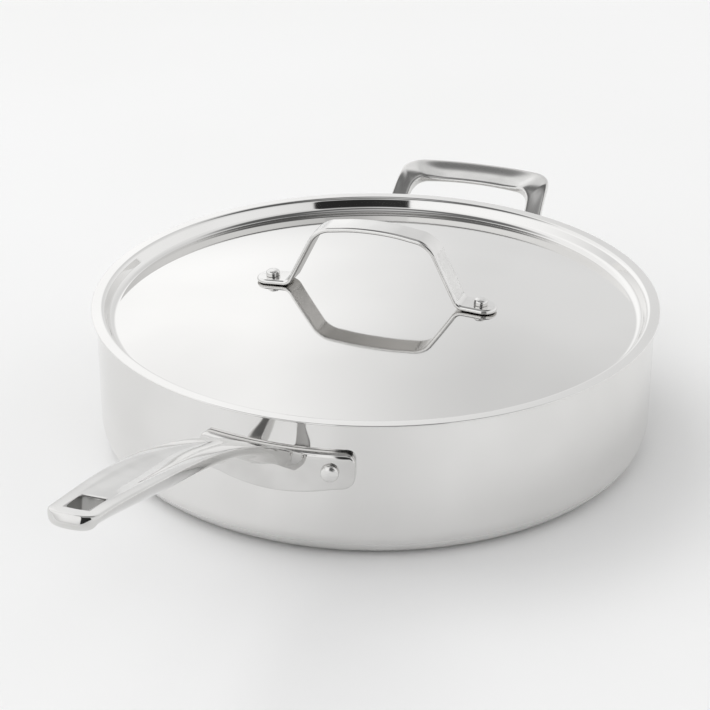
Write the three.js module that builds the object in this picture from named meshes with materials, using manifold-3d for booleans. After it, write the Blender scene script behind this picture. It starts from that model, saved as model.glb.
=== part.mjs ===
// A saute pan with a recessed lid, in millimetres, +Z up.
// The origin is the middle of the base, on the surface that the pan stands on.
// The long handle points along -Y, the helper handle along +Y, and the lid's handle lies along X.
import * as THREE from 'three';
import { mergeVertices } from 'three/addons/utils/BufferGeometryUtils.js';
import Module from 'manifold-3d';

// Pan body, one pressing of clad sheet
const WALL_RADIUS = 152.7;
const PAN_HEIGHT = 76.7;
const CLAD_SHEET = 2.6;
const BASE_CORNER = 15;
const RIM_CHAMFER = 0.7;

// Lid, one pressing of thin sheet that sinks into the pan
const FLANGE_OVERHANG = 2.7;
const LID_SHEET = 1.0;
const LID_FIT = 0.6;
const LID_DROP = 8.2;
const LID_WALL_LEAN = 3.2;
const LID_SHOULDER_BEND = 2.6;
const LID_VALLEY_BEND = 4.2;
const DOME_RISE = 10.8;

// Lid handle, a bent strap
const STRAP_WIDTH = 15.5;
const STRAP_SHEET = 2.7;
const TAB_END = 9.2;
const STRAP_FOOT_INSET = 12;
const STRAP_SHOULDER_REACH = 31.3;
const STRAP_SHOULDER_RISE = 33.1;
const STRAP_CROWN_RISE = 37.9;
const STRAP_FOOT_BEND = 6;
const STRAP_SHOULDER_BEND = 12;
const STRAP_CROWN_BEND = 110;

// Lid handle rivets
const LID_RIVET_REACH = 60;
const LID_RIVET = { shank: 2.3, head: 3.85, crown: 3.4, tail: 4.2, tailDepth: 1.4 };

// Plates that both cast handles have against the wall
const PLATE_THICKNESS = 4.0;
const PLATE_TOP_BEND = 5;
const PLATE_BOTTOM_BEND = 7;

// Long handle plate and its rivets
const FRONT_PLATE_SPAN = 83.6;
const FRONT_PLATE_BELOW_RIM = 14.5;
const FRONT_PLATE_END_DEPTH = 18.6;
const FRONT_PLATE_DEPTH = 23.4;
const FRONT_RIVET_FROM_END = 11.9;
const FRONT_RIVET_FROM_TOP = 9.8;

// Long handle, from the plate out to its tip
const HANDLE_LENGTH = 215.5;
const HANDLE_RISE = 79.1;
const ROOT_SLOPE = 0.66;
const ROOT_ARM = 70;
const TIP_SLOPE = 0.18;
const TIP_ARM = 80;
const ROOT_WIDTH = 36;
const ROOT_FLARE = 10;
const NECK_WIDTH = 27;
const NECK_RUN = 50;
const GRIP_WIDTH = 29;
const GRIP_RUN = 140;
const TIP_WIDTH = 23.4;
const TIP_ROUND = 6;
const TIP_FLAT = 6;
const ROOT_DEPTH = 13;
const NECK_DEPTH = 9;
const GRIP_DEPTH = 12.5;
const TIP_DEPTH = 8;
const TIP_FACE_DEPTH = 6;
const TIP_SLANT = 1.4;
const EDGE_ROUND = 1.2;

// Dished top of the grip, the hang slot in it and the gap between the neck's two legs
const DISH_DEPTH = 1.8;
const DISH_NECK_RIM = 9.5;
const DISH_RIM = 5;
const DISH_FLANK_SHARE = 0.45;
const DISH_START = 45;
const DISH_FADE = 40;
const DISH_END = 8;
const DISH_END_FADE = 50;
const SLOT_FROM_TIP = 8.5;
const SLOT_LENGTH = 17;
const SLOT_INNER_WIDTH = 11.3;
const SLOT_OUTER_WIDTH = 9.6;
const SLOT_BEND = 2.5;
const FORK_GAP_LENGTH = 20;
const FORK_GAP_INNER_WIDTH = 19;
const FORK_GAP_OUTER_WIDTH = 15;
const FORK_GAP_BEND = 3;

// Helper handle plate and its rivets
const BACK_PLATE_PAST_LOOP = 4.5;
const BACK_PLATE_BELOW_RIM = 14.7;
const BACK_PLATE_END_DEPTH = 21;
const BACK_PLATE_DEPTH = 24;
const BACK_RIVET_FROM_END = 25.5;
const BACK_RIVET_FROM_TOP = 9.1;

// Helper handle loop
const LOOP_LENGTH = 51.8;
const LOOP_BOW = 7;
const LOOP_BOW_BEND = 200;
const LOOP_ROOT_WIDTH = 100.4;
const LOOP_TAPER = 7;
const LOOP_CORNER = 13;
const LEG_WIDTH = 10;
const BAR_WIDTH = 17.5;
const LOOP_INNER_CORNER = 11;
const LOOP_INNER_BOW = 4.5;
const LOOP_INNER_BOW_BEND = 150;
const LOOP_BELOW_PLATE_TOP = 16;
const LOOP_CREASE_REACH = 34.8;
const LOOP_CREASE_RISE = 33;
const LOOP_CREASE_BEND = 20;
const LOOP_RISE = 36.6;
const LOOP_DEPTH = 5.7;

// Rivets through the pan's wall, alike on both handles
const WALL_RIVET = { shank: 3.2, head: 4.6, crown: 3.0, tail: 5.6, tailDepth: 1.6 };

// Clearance between pieces that touch on the real pan
const SEAT_GAP = 0.3;

// Fineness of round shapes
const TURN = 64;
const RIVET_TURN = 16;
const BEND_STEPS = 4;
const DOME_STEPS = 5;
const LINE_STEPS = 12;
const HANDLE_STEPS = 15;
const BELLY_STEPS = 6;

// Farther than any piece reaches, for shapes that only cut or bound others
const BEYOND = 3 * PAN_HEIGHT;

const STEEL = { metalness: 1 };
const polishedSteel = new THREE.MeshStandardMaterial({ ...STEEL, color: 0xd6d6d4, roughness: 0.08 });
const castSteel = new THREE.MeshStandardMaterial({ ...STEEL, color: 0xc9c9c7, roughness: 0.22 });
const rivetSteel = new THREE.MeshStandardMaterial({ ...STEEL, color: 0xbfbfbd, roughness: 0.3 });

const wasm = await Module();
wasm.setup();

// Turns a closed mesh into a solid that can be joined and cut.
function solidOf(geometry) {
  const bare = geometry.clone();
  bare.deleteAttribute('normal');
  bare.deleteAttribute('uv');
  const merged = mergeVertices(bare, 1e-4);
  const index = merged.index.array;
  const faces = [];
  for (let i = 0; i < index.length; i += 3) {
    const [a, b, c] = index.slice(i, i + 3);
    if (a !== b && b !== c && c !== a) faces.push(a, b, c);
  }
  const vertProperties = merged.attributes.position.array;
  return new wasm.Manifold(new wasm.Mesh({ numProp: 3, vertProperties, triVerts: new Uint32Array(faces) }));
}

// Turns a solid back into a mesh's geometry.
function geometryOf(solid) {
  const { vertProperties, triVerts } = solid.getMesh();
  const geometry = new THREE.BufferGeometry();
  geometry.setAttribute('position', new THREE.BufferAttribute(vertProperties, 3));
  geometry.setIndex(new THREE.BufferAttribute(triVerts, 1));
  geometry.computeVertexNormals();
  return geometry;
}

// A line through corners [x, y, bend radius], where each bend is an arc.
function bentLine(corners, steps = BEND_STEPS) {
  const points = corners.map(([x, y]) => new THREE.Vector2(x, y));
  return corners.flatMap(([, , radius], i) => {
    if (!radius) return [points[i]];
    const arriving = points.at(i - 1).clone().sub(points[i]).normalize();
    const leaving = points[(i + 1) % points.length].clone().sub(points[i]).normalize();
    const half = Math.acos(arriving.dot(leaving)) / 2;
    const middle = arriving.clone().add(leaving).normalize();
    const centre = points[i].clone().addScaledVector(middle, radius / Math.sin(half));
    const start = points[i].clone().addScaledVector(arriving, radius / Math.tan(half));
    const sweep = Math.sign(leaving.cross(arriving)) * (Math.PI - 2 * half);
    return Array.from({ length: steps + 1 }, (_, k) =>
      start.clone().rotateAround(centre, (sweep * k) / steps));
  });
}

// The same line moved to the left of its direction by a distance.
function lineBeside(line, distance) {
  const normal = (a, b) => new THREE.Vector2(a.y - b.y, b.x - a.x).normalize();
  return line.map((point, i) => {
    const before = normal(line[Math.max(i - 1, 0)], line[Math.max(i, 1)]);
    const after = normal(line[Math.min(i, line.length - 2)], line[Math.min(i + 1, line.length - 1)]);
    const mitre = before.clone().add(after).divideScalar(1 + before.dot(after));
    const moved = point.clone().addScaledVector(mitre, distance);
    if (point.x === 0) moved.x = 0;
    return moved;
  });
}

// A profile [radius, height] turned round the Z axis.
function turned(profile, segments = TURN) {
  return new THREE.LatheGeometry(profile, segments).rotateX(Math.PI / 2);
}

// A shape in X and Y raised along Z between two heights.
function raised(shape, low, high) {
  const geometry = new THREE.ExtrudeGeometry(shape, { depth: high - low, bevelEnabled: false });
  return geometry.translate(0, 0, low);
}

// An outline in [x, z] carried along Y between two places.
function carriedAlongY(outline, from, to) {
  return raised(new THREE.Shape(outline), -to, -from).rotateX(Math.PI / 2);
}

// An outline in [y, z] carried along X, as wide on either side of the middle.
function carriedAlongX(outline, halfWidth) {
  return raised(new THREE.Shape(outline), -halfWidth, halfWidth)
    .rotateX(Math.PI / 2)
    .rotateZ(Math.PI / 2);
}

// Rings of as many points each, joined into a closed skin with flat ends.
function lofted(rings) {
  const count = rings[0].length;
  const last = (rings.length - 1) * count;
  const faces = [];
  for (let ring = 0; ring < last; ring += count) {
    for (let i = 0; i < count; i += 1) {
      const next = (i + 1) % count;
      faces.push(ring + i, ring + next, ring + count + next);
      faces.push(ring + i, ring + count + next, ring + count + i);
    }
  }
  for (let i = 1; i < count - 1; i += 1) {
    faces.push(0, i + 1, i);
    faces.push(last, last + i, last + i + 1);
  }
  const geometry = new THREE.BufferGeometry().setFromPoints(rings.flat());
  geometry.setIndex(faces);
  return geometry;
}

// A value that eases from one stop [place, value] to the next.
function eased(stops, place) {
  const last = stops.length - 1;
  const after = Math.max(stops.findIndex(([at], i) => at >= place || i === last), 1);
  const [from, low] = stops[after - 1];
  const [to, high] = stops[after];
  return low + (high - low) * THREE.MathUtils.smoothstep(place, from, to);
}

// A rising line from a root to an end, each with its slope and the reach of that slope.
function risingLine(root, end) {
  return new THREE.CubicBezierCurve(
    new THREE.Vector2(root.reach, root.height),
    new THREE.Vector2(root.reach + root.arm, root.height + root.arm * root.slope),
    new THREE.Vector2(end.reach - end.arm, end.height - end.arm * end.slope),
    new THREE.Vector2(end.reach, end.height),
  );
}

// The height of a rising line at a reach.
function heightAt(line, reach) {
  let [low, high] = [0, 1];
  while (high - low > 1e-6) {
    const middle = (low + high) / 2;
    if (line.getPoint(middle).x < reach) low = middle;
    else high = middle;
  }
  return line.getPoint(low).y;
}

// Pan body: the outer line from the middle of the base up to the rim, and back inside it.
const innerRadius = WALL_RADIUS - CLAD_SHEET;
const panProfile = [
  new THREE.Vector2(0, 0),
  ...bentLine([
    [0, 0],
    [WALL_RADIUS, 0, BASE_CORNER],
    [WALL_RADIUS, PAN_HEIGHT - RIM_CHAMFER],
  ]).slice(1),
  new THREE.Vector2(WALL_RADIUS - RIM_CHAMFER, PAN_HEIGHT),
  new THREE.Vector2(innerRadius + RIM_CHAMFER, PAN_HEIGHT),
  ...bentLine([
    [innerRadius, PAN_HEIGHT - RIM_CHAMFER],
    [innerRadius, CLAD_SHEET, BASE_CORNER - CLAD_SHEET],
    [0, CLAD_SHEET],
  ]),
];

// The facets of a turned wall lie a little inside its true radius.
const facetShare = Math.cos(Math.PI / TURN);

// Lid: the upper line from the top of the dome down to the valley and up to the flange.
const flangeHeight = PAN_HEIGHT + SEAT_GAP + LID_SHEET;
const lidWallRadius = innerRadius - LID_FIT - LID_SHEET;
const valleyRadius = lidWallRadius - LID_WALL_LEAN;
const valleyHeight = flangeHeight - LID_DROP;
const domeTop = valleyHeight + DOME_RISE;
const domeRadius = (valleyRadius ** 2 + DOME_RISE ** 2) / (2 * DOME_RISE);
const domeHeight = (radius) => domeTop - domeRadius + Math.sqrt(domeRadius ** 2 - radius ** 2);
const domeLine = Array.from({ length: DOME_STEPS }, (_, i) => {
  const radius = (valleyRadius * i) / DOME_STEPS;
  return [radius, domeHeight(radius)];
});
const lidLine = bentLine([
  ...domeLine,
  [valleyRadius, valleyHeight, LID_VALLEY_BEND],
  [lidWallRadius, flangeHeight, LID_SHOULDER_BEND],
  [WALL_RADIUS + FLANGE_OVERHANG, flangeHeight],
]);
const lidUnderline = lineBeside(lidLine, -LID_SHEET);
const lidProfile = [...lidUnderline, ...lidLine.reverse()];

// Lid handle: the strap's under line, with tabs that lie along the dome at the rivets.
const tabTilt = Math.asin(LID_RIVET_REACH / domeRadius);
const tabHeight = domeHeight(LID_RIVET_REACH) + SEAT_GAP;
const tabLineHeight = (reach) => tabHeight - (reach - LID_RIVET_REACH) * Math.tan(tabTilt);
const tabReach = LID_RIVET_REACH + TAB_END;
const footReach = LID_RIVET_REACH - STRAP_FOOT_INSET;
const strapHalf = [
  [tabReach, tabLineHeight(tabReach)],
  [footReach, tabLineHeight(footReach), STRAP_FOOT_BEND],
  [STRAP_SHOULDER_REACH, domeTop + STRAP_SHOULDER_RISE, STRAP_SHOULDER_BEND],
];
const strapLine = bentLine([
  ...strapHalf,
  [0, domeTop + STRAP_CROWN_RISE, STRAP_CROWN_BEND],
  ...strapHalf.map(([reach, height, bend]) => [-reach, height, bend]).reverse(),
]);
const strapOutline = [...strapLine, ...lineBeside(strapLine, -STRAP_SHEET).reverse()];
const strapPlan = new THREE.Shape();
strapPlan.absarc(tabReach - STRAP_WIDTH / 2, 0, STRAP_WIDTH / 2, -Math.PI / 2, Math.PI / 2);
strapPlan.absarc(STRAP_WIDTH / 2 - tabReach, 0, STRAP_WIDTH / 2, Math.PI / 2, (3 * Math.PI) / 2);

// The two plates: how far each goes round the wall, its edges' heights and where its rivets are.
const plateRadius = WALL_RADIUS + SEAT_GAP + PLATE_THICKNESS;
const frontTop = PAN_HEIGHT - FRONT_PLATE_BELOW_RIM;
const backTop = PAN_HEIGHT - BACK_PLATE_BELOW_RIM;
const frontPlate = {
  span: FRONT_PLATE_SPAN,
  top: frontTop,
  end: frontTop - FRONT_PLATE_END_DEPTH,
  bottom: frontTop - FRONT_PLATE_DEPTH,
  rivetFromEnd: FRONT_RIVET_FROM_END,
  rivetFromTop: FRONT_RIVET_FROM_TOP,
};
const backPlate = {
  span: LOOP_ROOT_WIDTH + 2 * BACK_PLATE_PAST_LOOP,
  top: backTop,
  end: backTop - BACK_PLATE_END_DEPTH,
  bottom: backTop - BACK_PLATE_DEPTH,
  rivetFromEnd: BACK_RIVET_FROM_END,
  rivetFromTop: BACK_RIVET_FROM_TOP,
};

// A rivet along Z, with its formed head above and its flat set head a grip below.
function rivetGeometry({ shank, head, crown, tail, tailDepth }, grip) {
  const domed = Array.from({ length: BEND_STEPS + 1 }, (_, i) => {
    const angle = (Math.PI / 2) * (i / BEND_STEPS);
    return new THREE.Vector2(i < BEND_STEPS ? head * Math.cos(angle) : 0, crown * Math.sin(angle));
  });
  return turned([
    new THREE.Vector2(0, -grip - tailDepth),
    new THREE.Vector2(tail - tailDepth / 2, -grip - tailDepth),
    new THREE.Vector2(tail, -grip - tailDepth / 2),
    new THREE.Vector2(tail, -grip),
    new THREE.Vector2(shank, -grip),
    new THREE.Vector2(shank, 0),
    ...domed,
  ], RIVET_TURN);
}

// The hole for a rivet's shank, long enough to pass everything in the rivet's grip.
function rivetHole({ shank }, grip) {
  const radius = shank + SEAT_GAP;
  return new THREE.CylinderGeometry(radius, radius, 2 * (grip + SEAT_GAP), RIVET_TURN).rotateX(Math.PI / 2);
}

// Where each rivet sits: a frame whose Z axis is the rivet's, pointing out through its head.
function lidRivetFrame(side) {
  const reach = side * LID_RIVET_REACH;
  const seat = (STRAP_SHEET + 2 * SEAT_GAP) / Math.cos(tabTilt);
  const frame = new THREE.Matrix4().makeRotationY(side * tabTilt);
  return frame.setPosition(reach, 0, domeHeight(LID_RIVET_REACH) + seat);
}

function wallRivetFrame({ span, top, rivetFromEnd, rivetFromTop }, facing, side) {
  const seat = plateRadius + SEAT_GAP;
  const angle = (side * (span / 2 - rivetFromEnd)) / plateRadius;
  const outward = new THREE.Vector3(Math.sin(angle), facing * Math.cos(angle), 0);
  const across = new THREE.Vector3().crossVectors(new THREE.Vector3(0, 0, 1), outward);
  const frame = new THREE.Matrix4().makeBasis(across, new THREE.Vector3(0, 0, 1), outward);
  return frame.setPosition(outward.x * seat, outward.y * seat, top - rivetFromTop);
}

// Grips: what lies between a rivet's head and its set head, with clearance at both.
const lidRivetGrip = LID_SHEET + STRAP_SHEET + 3 * SEAT_GAP;
const wallRivetGrip = plateRadius + SEAT_GAP - (innerRadius * facetShare - SEAT_GAP);

const sides = { left: -1, right: 1 };
const lidRivetFrames = Object.values(sides).map(lidRivetFrame);
const frontRivetFrames = Object.values(sides).map((side) => wallRivetFrame(frontPlate, -1, side));
const backRivetFrames = Object.values(sides).map((side) => wallRivetFrame(backPlate, 1, side));

// Drills every rivet's hole through a solid.
function drilled(solid, rivet, frames, grip) {
  const hole = rivetHole(rivet, grip);
  return frames.reduce((left, frame) => left.subtract(solidOf(hole.clone().applyMatrix4(frame))), solid);
}

// What a handle's plate must stay clear of: the pan's wall, filled, with the seat gap round it.
const wallFill = solidOf(turned([
  new THREE.Vector2(0, -BEYOND),
  new THREE.Vector2(WALL_RADIUS + SEAT_GAP, -BEYOND),
  new THREE.Vector2(WALL_RADIUS + SEAT_GAP, BEYOND),
  new THREE.Vector2(0, BEYOND),
]));

// A plate bent round the wall: straight along its top, and bowed down in the middle of its lower edge.
function wallPlate({ span, top, end, bottom }, facing) {
  const half = plateRadius * Math.sin(span / 2 / plateRadius);
  const lower = new THREE.QuadraticBezierCurve(
    new THREE.Vector2(PLATE_BOTTOM_BEND - half, end),
    new THREE.Vector2(0, 2 * bottom - end),
    new THREE.Vector2(half - PLATE_BOTTOM_BEND, end),
  );
  const outline = [
    ...bentLine([
      [half, end, PLATE_BOTTOM_BEND],
      [half, top, PLATE_TOP_BEND],
      [-half, top, PLATE_TOP_BEND],
      [-half, end, PLATE_BOTTOM_BEND],
    ]),
    ...lower.getPoints(LINE_STEPS).slice(1, -1),
  ];
  const drum = solidOf(turned([
    new THREE.Vector2(0, 0),
    new THREE.Vector2(plateRadius, 0),
    new THREE.Vector2(plateRadius, PAN_HEIGHT),
    new THREE.Vector2(0, PAN_HEIGHT),
  ]));
  const [near, far] = [0, facing * BEYOND].sort((a, b) => a - b);
  return drum.intersect(solidOf(carriedAlongY(outline, near, far)));
}

// Long handle: sections along its top line, each with a rounded belly and a dished or flat top.
const tipReach = plateRadius + HANDLE_LENGTH;
const handleLine = risingLine(
  { reach: plateRadius, height: frontTop, arm: ROOT_ARM, slope: ROOT_SLOPE },
  { reach: tipReach, height: frontTop + HANDLE_RISE, arm: TIP_ARM, slope: TIP_SLOPE },
);

function handleSection(run, tipTurn) {
  const fullWidth = eased([
    [0, ROOT_WIDTH],
    [ROOT_FLARE, NECK_WIDTH],
    [NECK_RUN, NECK_WIDTH],
    [GRIP_RUN, GRIP_WIDTH],
    [HANDLE_LENGTH, TIP_WIDTH],
  ], run);
  const fullDepth = eased([
    [0, ROOT_DEPTH],
    [NECK_RUN, NECK_DEPTH],
    [GRIP_RUN, GRIP_DEPTH],
    [HANDLE_LENGTH, TIP_DEPTH],
  ], run);
  const width = TIP_FLAT + (fullWidth - TIP_FLAT) * Math.cos(tipTurn);
  const depth = TIP_FACE_DEPTH + (fullDepth - TIP_FACE_DEPTH) * Math.cos(tipTurn);
  const dishIn = THREE.MathUtils.smoothstep(run, DISH_START, DISH_START + DISH_FADE);
  const dishOut = THREE.MathUtils.smoothstep(HANDLE_LENGTH - run, DISH_END, DISH_END + DISH_END_FADE);
  const dish = DISH_DEPTH * dishIn * dishOut;
  const fullRim = eased([
    [DISH_START, DISH_NECK_RIM],
    [GRIP_RUN, DISH_RIM],
  ], run);
  const half = width / 2;
  const dishHalf = half - (fullRim * width) / fullWidth;
  const height = heightAt(handleLine, plateRadius + run);
  const topHalf = [
    [half, EDGE_ROUND],
    [half - EDGE_ROUND, 0],
    [dishHalf, 0],
    [dishHalf * (1 - DISH_FLANK_SHARE), dish],
  ];
  const belly = Array.from({ length: BELLY_STEPS - 1 }, (_, i) => {
    const angle = (Math.PI * (i + 1)) / BELLY_STEPS;
    return [-half * Math.cos(angle), EDGE_ROUND + (depth - EDGE_ROUND) * Math.sin(angle)];
  });
  const ring = [...topHalf, ...topHalf.map(([x, drop]) => [-x, drop]).reverse(), ...belly];
  return ring.map(([x, drop]) => {
    const setback = TIP_SLANT * Math.sin(tipTurn) * Math.max(1 - drop / TIP_FACE_DEPTH, 0);
    return new THREE.Vector3(x, setback - plateRadius - run, height - drop);
  });
}

const straightRun = HANDLE_LENGTH - TIP_ROUND;
const handleRings = [handleSection(-PLATE_THICKNESS, 0)];
for (let step = 0; step <= HANDLE_STEPS; step += 1) {
  handleRings.push(handleSection((straightRun * step) / HANDLE_STEPS, 0));
}
for (let step = 1; step <= BEND_STEPS; step += 1) {
  const tipTurn = ((step / BEND_STEPS) * Math.PI) / 2;
  handleRings.push(handleSection(straightRun + TIP_ROUND * Math.sin(tipTurn), tipTurn));
}

// A four-sided gap in plan between two distances along the handle, cut right through it.
function handleGap(near, far, nearWidth, farWidth, bend) {
  const outline = bentLine([
    [-nearWidth / 2, -plateRadius - near, bend],
    [-farWidth / 2, -plateRadius - far, bend],
    [farWidth / 2, -plateRadius - far, bend],
    [nearWidth / 2, -plateRadius - near, bend],
  ]);
  return solidOf(raised(new THREE.Shape(outline), 0, BEYOND));
}

const slotEnd = HANDLE_LENGTH - SLOT_FROM_TIP;
const forkStart = -PLATE_THICKNESS / 2;
const hangSlot = handleGap(slotEnd - SLOT_LENGTH, slotEnd, SLOT_INNER_WIDTH, SLOT_OUTER_WIDTH, SLOT_BEND);
const forkGap = handleGap(
  forkStart,
  FORK_GAP_LENGTH,
  FORK_GAP_INNER_WIDTH,
  FORK_GAP_OUTER_WIDTH,
  FORK_GAP_BEND,
);
const handleArm = solidOf(lofted(handleRings)).subtract(hangSlot).subtract(forkGap);
const longHandle = drilled(
  handleArm.add(wallPlate(frontPlate, -1)).subtract(wallFill),
  WALL_RIVET,
  frontRivetFrames,
  wallRivetGrip,
);

// Helper handle: a bow in plan, with steep legs and a flatter bar between an upper and a lower line.
const legStart = Math.sqrt(WALL_RADIUS ** 2 - (LOOP_ROOT_WIDTH / 2) ** 2);
const loopReach = WALL_RADIUS + LOOP_LENGTH;
const loopEndWidth = LOOP_ROOT_WIDTH - LOOP_TAPER;
const loopRootHeight = backTop - LOOP_BELOW_PLATE_TOP;
const loopTop = bentLine([
  [legStart, loopRootHeight],
  [WALL_RADIUS + LOOP_CREASE_REACH, loopRootHeight + LOOP_CREASE_RISE, LOOP_CREASE_BEND],
  [loopReach + LOOP_BOW, loopRootHeight + LOOP_RISE],
]);
const loopUnder = loopTop.map(({ x, y }) => new THREE.Vector2(x, y - LOOP_DEPTH));
const loopSide = [...loopTop, ...loopUnder.reverse()];
const barReach = loopReach - BAR_WIDTH;
const loopPlan = new THREE.Shape(bentLine([
  [LOOP_ROOT_WIDTH / 2, legStart],
  [loopEndWidth / 2, loopReach, LOOP_CORNER],
  [0, loopReach + LOOP_BOW, LOOP_BOW_BEND],
  [-loopEndWidth / 2, loopReach, LOOP_CORNER],
  [-LOOP_ROOT_WIDTH / 2, legStart],
  [LEG_WIDTH - LOOP_ROOT_WIDTH / 2, legStart],
  [LEG_WIDTH - loopEndWidth / 2, barReach, LOOP_INNER_CORNER],
  [0, barReach + LOOP_INNER_BOW, LOOP_INNER_BOW_BEND],
  [loopEndWidth / 2 - LEG_WIDTH, barReach, LOOP_INNER_CORNER],
  [LOOP_ROOT_WIDTH / 2 - LEG_WIDTH, legStart],
]));
const helperHandle = drilled(
  solidOf(raised(loopPlan, 0, BEYOND))
    .intersect(solidOf(carriedAlongX(loopSide, LOOP_ROOT_WIDTH)))
    .add(wallPlate(backPlate, 1))
    .subtract(wallFill),
  WALL_RIVET,
  backRivetFrames,
  wallRivetGrip,
);

const group = new THREE.Group();

function addPiece(name, geometry, material) {
  const piece = new THREE.Mesh(geometry, material);
  piece.name = name;
  group.add(piece);
  return piece;
}

const panBody = drilled(
  solidOf(turned(panProfile)),
  WALL_RIVET,
  [...frontRivetFrames, ...backRivetFrames],
  wallRivetGrip,
);
addPiece('pan_body', geometryOf(panBody), polishedSteel);

addPiece('long_handle', geometryOf(longHandle), castSteel);
addPiece('helper_handle', geometryOf(helperHandle), castSteel);

const lid = drilled(solidOf(turned(lidProfile)), LID_RIVET, lidRivetFrames, lidRivetGrip);
addPiece('lid', geometryOf(lid), polishedSteel);

const strap = solidOf(carriedAlongY(strapOutline, -STRAP_WIDTH, STRAP_WIDTH))
  .intersect(solidOf(raised(strapPlan, 0, BEYOND)));
const lidHandle = drilled(strap, LID_RIVET, lidRivetFrames, lidRivetGrip);
addPiece('lid_handle', geometryOf(lidHandle), castSteel);

const rivetSets = [
  ['long_handle_rivet', WALL_RIVET, wallRivetGrip, frontRivetFrames],
  ['helper_handle_rivet', WALL_RIVET, wallRivetGrip, backRivetFrames],
  ['lid_handle_rivet', LID_RIVET, lidRivetGrip, lidRivetFrames],
];
for (const [name, rivet, grip, frames] of rivetSets) {
  Object.keys(sides).forEach((side, i) => {
    addPiece(`${name}_${side}`, rivetGeometry(rivet, grip), rivetSteel).applyMatrix4(frames[i]);
  });
}

export default group;
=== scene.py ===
import math

import bmesh
import bpy
from mathutils import Matrix, Vector
from mathutils.geometry import interpolate_bezier


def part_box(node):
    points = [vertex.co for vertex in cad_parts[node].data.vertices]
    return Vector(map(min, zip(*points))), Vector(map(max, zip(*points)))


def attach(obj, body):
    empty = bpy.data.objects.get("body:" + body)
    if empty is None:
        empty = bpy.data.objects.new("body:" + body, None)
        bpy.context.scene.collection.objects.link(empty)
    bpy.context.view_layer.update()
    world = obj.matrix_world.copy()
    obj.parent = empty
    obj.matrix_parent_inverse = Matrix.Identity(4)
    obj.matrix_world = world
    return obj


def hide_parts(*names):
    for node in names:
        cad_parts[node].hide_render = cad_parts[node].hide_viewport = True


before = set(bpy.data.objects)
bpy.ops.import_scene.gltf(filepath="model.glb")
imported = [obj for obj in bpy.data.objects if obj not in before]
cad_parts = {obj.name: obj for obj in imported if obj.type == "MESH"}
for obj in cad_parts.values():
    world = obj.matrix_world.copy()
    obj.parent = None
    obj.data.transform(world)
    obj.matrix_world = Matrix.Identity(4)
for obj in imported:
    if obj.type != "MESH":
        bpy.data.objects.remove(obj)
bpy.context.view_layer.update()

# Camera
# A long lens a little over a metre away, to the right of the long handle and well above the rim.
# The frame is square. Sizes in the script are metres, and most are written as millimetres times MM.
MM = 0.001
LENS = 107.28
SENSOR = 36
CAMERA_TURN = math.radians(19.3)
CAMERA_TILT = math.radians(25.603)
CAMERA_DISTANCE = 1179.4 * MM
AIM_TO_LEFT = 11.2 * MM
AIM_HEIGHT = 41.79 * MM

across = Vector((math.cos(CAMERA_TURN), math.sin(CAMERA_TURN), 0))
away = Vector((-math.sin(CAMERA_TURN), math.cos(CAMERA_TURN), 0))
to_camera = Vector((0, 0, math.sin(CAMERA_TILT))) - away * math.cos(CAMERA_TILT)
camera = bpy.data.objects.new("camera", bpy.data.cameras.new("camera"))
camera.data.lens = LENS
camera.data.sensor_width = SENSOR
camera.location = Vector((0, 0, AIM_HEIGHT)) - across * AIM_TO_LEFT + to_camera * CAMERA_DISTANCE
camera.rotation_euler = to_camera.to_track_quat("Z", "Y").to_euler()
bpy.context.collection.objects.link(camera)
bpy.context.scene.camera = camera
bpy.context.scene.view_settings.view_transform = "Standard"

# Pan body
# One cup drawn from a disc of clad steel sheet, so base, corner, wall and rim are a single piece.
# It is polished bright outside, and turned to a fine satin inside.
CLAD_SHEET = 2.6 * MM
BASE_CORNER = 15 * MM
RIM_ROUND = 1.1 * MM
PAN_TURN = 192
BODY_BEND_STEPS = 12
WELD = 0.001 * MM
SHARP_FROM = math.radians(40)
TINT_SPREAD = 0.35, 0.65
GLOSS_SPREAD = 0.3, 0.7
LINES_PER_METRE = 2600
LINES_PER_RADIAN = 3
BODY_TINTS = (0.80, 0.795, 0.785, 1), (0.76, 0.755, 0.745, 1)
BODY_CLOUD = 14
BODY_ROUGHNESS = 0.075, 0.03, 0.02
BODY_SWELL = 16, 8e-6
BODY_LINE_DEPTH = 4e-8
INSIDE_ROUGHNESS = 0.2
INSIDE_LINE_DEPTH = 5e-7

_, body_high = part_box("pan_body")
wall_radius = body_high.x
pan_height = body_high.z
inner_radius = wall_radius - CLAD_SHEET


def drawn_line(bm, corners, steps):
    """A wire through corners (point, bend radius), each bend an arc. Gives its vertices in order."""
    verts = [bm.verts.new(point) for point, _ in corners]
    for pair in zip(verts, verts[1:]):
        bm.edges.new(pair)
    for vert, (_, radius) in zip(verts, corners):
        if radius:
            bend_vert(bm, vert, radius, steps)
    line = verts[:1]
    while line[-1] is not verts[-1]:
        line.append(next(
            other for other in (edge.other_vert(line[-1]) for edge in line[-1].link_edges)
            if other not in line[-2:]
        ))
    return line


def bend_vert(bm, vert, radius, steps):
    """Rounds the corner of an outline at a vertex to an arc."""
    rays = [edge.other_vert(vert).co - vert.co for edge in vert.link_edges]
    bmesh.ops.bevel(
        bm,
        geom=[vert],
        offset=radius / math.tan(rays[0].angle(rays[1]) / 2),
        offset_type="ABSOLUTE",
        segments=steps,
        profile=0.5,
        affect="VERTICES",
        material=-1,
    )


def turned(bm, steps):
    """Turns the lines of a profile in X and Z once round the Z axis, and closes the poles."""
    bmesh.ops.spin(
        bm,
        geom=bm.verts[:] + bm.edges[:],
        cent=(0, 0, 0),
        axis=(0, 0, 1),
        angle=2 * math.pi,
        steps=steps,
        use_merge=True,
    )
    bmesh.ops.remove_doubles(bm, verts=bm.verts, dist=WELD)
    bmesh.ops.recalc_face_normals(bm, faces=bm.faces)


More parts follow.
